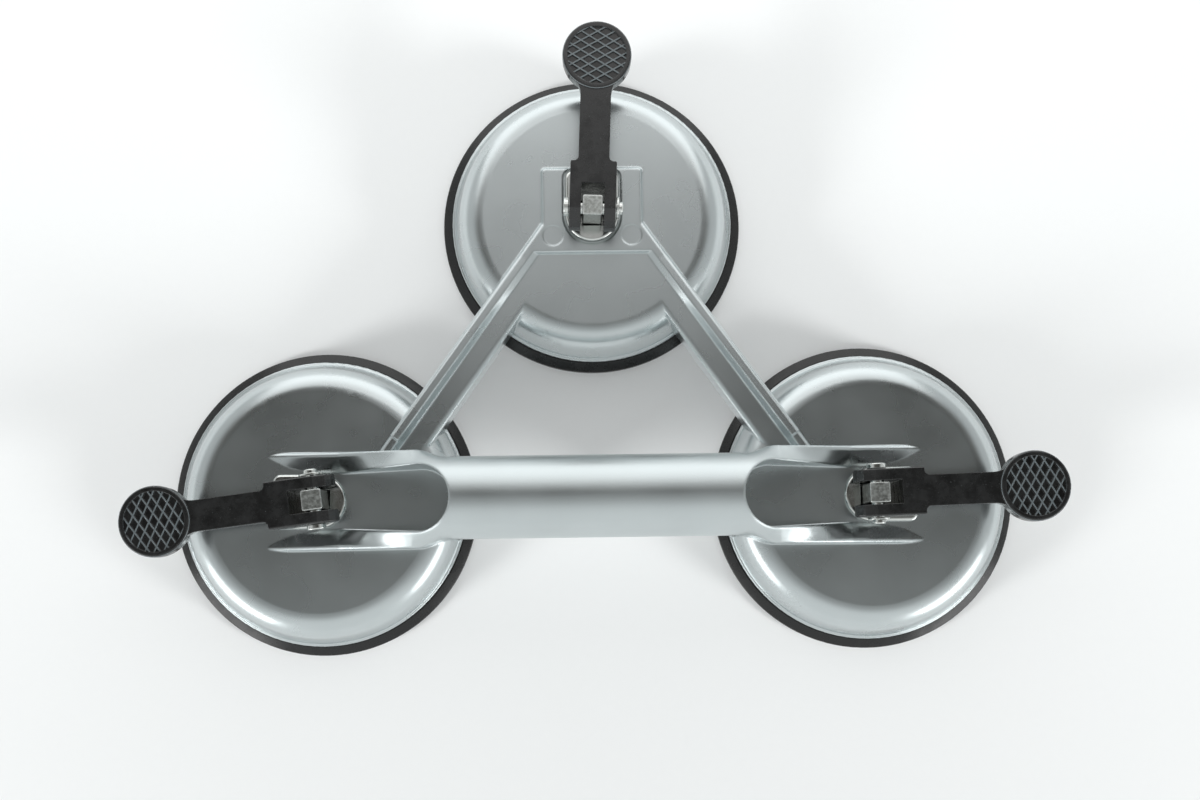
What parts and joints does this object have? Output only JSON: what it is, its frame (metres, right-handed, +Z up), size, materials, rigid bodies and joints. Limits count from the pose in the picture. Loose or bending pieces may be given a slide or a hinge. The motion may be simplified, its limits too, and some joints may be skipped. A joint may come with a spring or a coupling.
{
  "type": "suction cup lifter",
  "caption": "Hand lifter for glass and tile: cast frame on rubber suction cups, a round grip bar, and cam levers that pull the rubber up to grip a flat sheet.",
  "frame": {"origin": "middle of the whole lifter's plan, on the plane that the pads stand on", "axes": "+X along the grip bar towards the right cup, +Y towards the rear cup, +Z up"},
  "size_m": [0.3516, 0.2394, 0.0573],
  "materials": {
    "cast_aluminium": "satin, shot blasted die casting",
    "rubber": "smooth moulded black rubber",
    "black_plastic": "fine moulded grain, slightly glossy",
    "zinc_steel": "bright zinc plate",
    "spring_steel": "bright zinc plate"
  },
  "bodies": {
    "frame": {"cast_frame": "cast_aluminium", "left_suction_pad": "rubber", "left_wear_plate": "zinc_steel", "left_return_spring": "spring_steel", "right_suction_pad": "rubber", "right_wear_plate": "zinc_steel", "right_return_spring": "spring_steel", "rear_suction_pad": "rubber", "rear_wear_plate": "zinc_steel", "rear_return_spring": "spring_steel"},
    "left_draw_bar": {"left_stem": "zinc_steel", "left_backing_disc": "zinc_steel", "left_pivot_pin": "zinc_steel", "left_retaining_clip": "spring_steel"},
    "left_lever": {"left_cam_lever": "black_plastic"},
    "right_draw_bar": {"right_stem": "zinc_steel", "right_backing_disc": "zinc_steel", "right_pivot_pin": "zinc_steel", "right_retaining_clip": "spring_steel"},
    "right_lever": {"right_cam_lever": "black_plastic"},
    "rear_draw_bar": {"rear_stem": "zinc_steel", "rear_backing_disc": "zinc_steel", "rear_pivot_pin": "zinc_steel", "rear_retaining_clip": "spring_steel"},
    "rear_lever": {"rear_cam_lever": "black_plastic"}
  },
  "joints": [
    {"name": "left_draw_slide", "type": "slide", "parent": "frame", "child": "left_draw_bar", "axis": [0, 0, 1], "range_m": [-0.0034, 0], "deforming": ["left_suction_pad", "left_return_spring"]},
    {"name": "left_lever_hinge", "type": "hinge", "parent": "left_draw_bar", "child": "left_lever", "pos_m": [-0.1051, -0.0607, 0.0363], "axis": [-0.1253, 0.9921, 0], "range_deg": [0, 100]},
    {"name": "right_draw_slide", "type": "slide", "parent": "frame", "child": "right_draw_bar", "axis": [0, 0, 1], "range_m": [-0.0034, 0], "deforming": ["right_suction_pad", "right_return_spring"]},
    {"name": "right_lever_hinge", "type": "hinge", "parent": "right_draw_bar", "child": "right_lever", "pos_m": [0.1051, -0.0607, 0.0363], "axis": [0.0279, -0.9996, 0], "range_deg": [0, 100]},
    {"name": "rear_draw_slide", "type": "slide", "parent": "frame", "child": "rear_draw_bar", "axis": [0, 0, 1], "range_m": [-0.0034, 0], "deforming": ["rear_suction_pad", "rear_return_spring"]},
    {"name": "rear_lever_hinge", "type": "hinge", "parent": "rear_draw_bar", "child": "rear_lever", "pos_m": [0, 0.0488, 0.0363], "axis": [0.9991, -0.0419, 0], "range_deg": [0, 100]}
  ],
  "couplings": [
    {"joint": "left_draw_slide", "follows": "left_lever_hinge", "m_per_rad": -0.001948},
    {"joint": "right_draw_slide", "follows": "right_lever_hinge", "m_per_rad": -0.001948},
    {"joint": "rear_draw_slide", "follows": "rear_lever_hinge", "m_per_rad": -0.001948}
  ]
}
